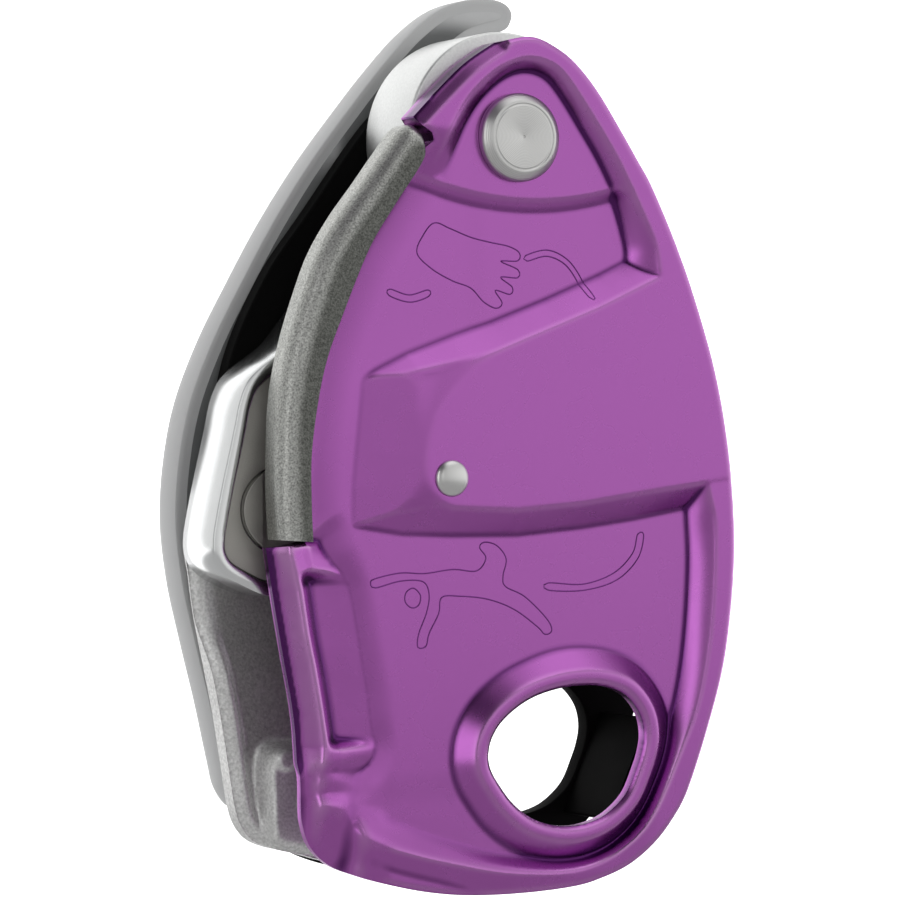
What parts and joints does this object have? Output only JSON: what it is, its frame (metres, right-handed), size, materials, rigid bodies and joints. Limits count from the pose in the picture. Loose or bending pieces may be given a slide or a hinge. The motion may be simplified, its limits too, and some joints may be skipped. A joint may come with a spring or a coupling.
{
  "type": "belay device",
  "caption": "Hand-sized climbing belay device with a hinged purple side plate, a pinching cam and a folding release handle.",
  "frame": {"origin": "centre of the attachment hole, half way through the rope channel", "axes": "+Z from the attachment hole up towards the side plate's hinge, +X to the closed edge away from the handle, +Y from the hinged plate to the handle side"},
  "size_m": [0.0633, 0.027, 0.1028],
  "materials": {
    "purple_anodised": "satin anodised, purple",
    "black_anodised": "satin anodised, black",
    "forged_silver": "fine blasted",
    "blasted_steel": "blasted, worn bright on the rope edge",
    "polished_steel": "polished",
    "stainless": "satin",
    "dark_steel": "dark satin",
    "grey_plastic": "fine satin"
  },
  "bodies": {
    "frame": {"fixed_side_plate": "black_anodised", "lower_block": "forged_silver", "hinge_block": "forged_silver", "hinge_rivet": "stainless", "hinge_washer": "stainless", "friction_plate": "stainless", "plate_spacer": "black_anodised", "friction_rivet_1": "stainless", "friction_rivet_2": "stainless", "block_rivet_1": "stainless", "block_rivet_2": "stainless", "cam_axle": "dark_steel", "axle_ring": "dark_steel", "cam_spring": "dark_steel", "handle_stop": "stainless"},
    "side_plate": {"moving_side_plate": "purple_anodised", "wear_bar": "blasted_steel", "wear_rivet": "stainless"},
    "cam": {"cam_body": "polished_steel", "cam_face_insert": "dark_steel", "cam_drive_pin": "dark_steel"},
    "handle": {"handle_grip": "grey_plastic", "handle_arm": "dark_steel", "handle_rivet_1": "stainless", "handle_rivet_2": "stainless"}
  },
  "joints": [
    {"name": "plate_swing", "type": "hinge", "parent": "frame", "child": "side_plate", "pos_m": [-0.0057, -0.006, 0.0698], "axis": [0, 1, 0], "range_deg": [0, 105]},
    {"name": "cam_pivot", "type": "hinge", "parent": "frame", "child": "cam", "pos_m": [-0.0325, 0.002, 0.028], "axis": [0, 1, 0], "range_deg": [0, 18], "stiffness_Nm_per_rad": 0.04, "springref_deg": -51.57},
    {"name": "handle_swing", "type": "hinge", "parent": "frame", "child": "handle", "pos_m": [-0.0325, 0.011, 0.028], "axis": [0, 1, 0], "range_deg": [-140, 0]}
  ]
}
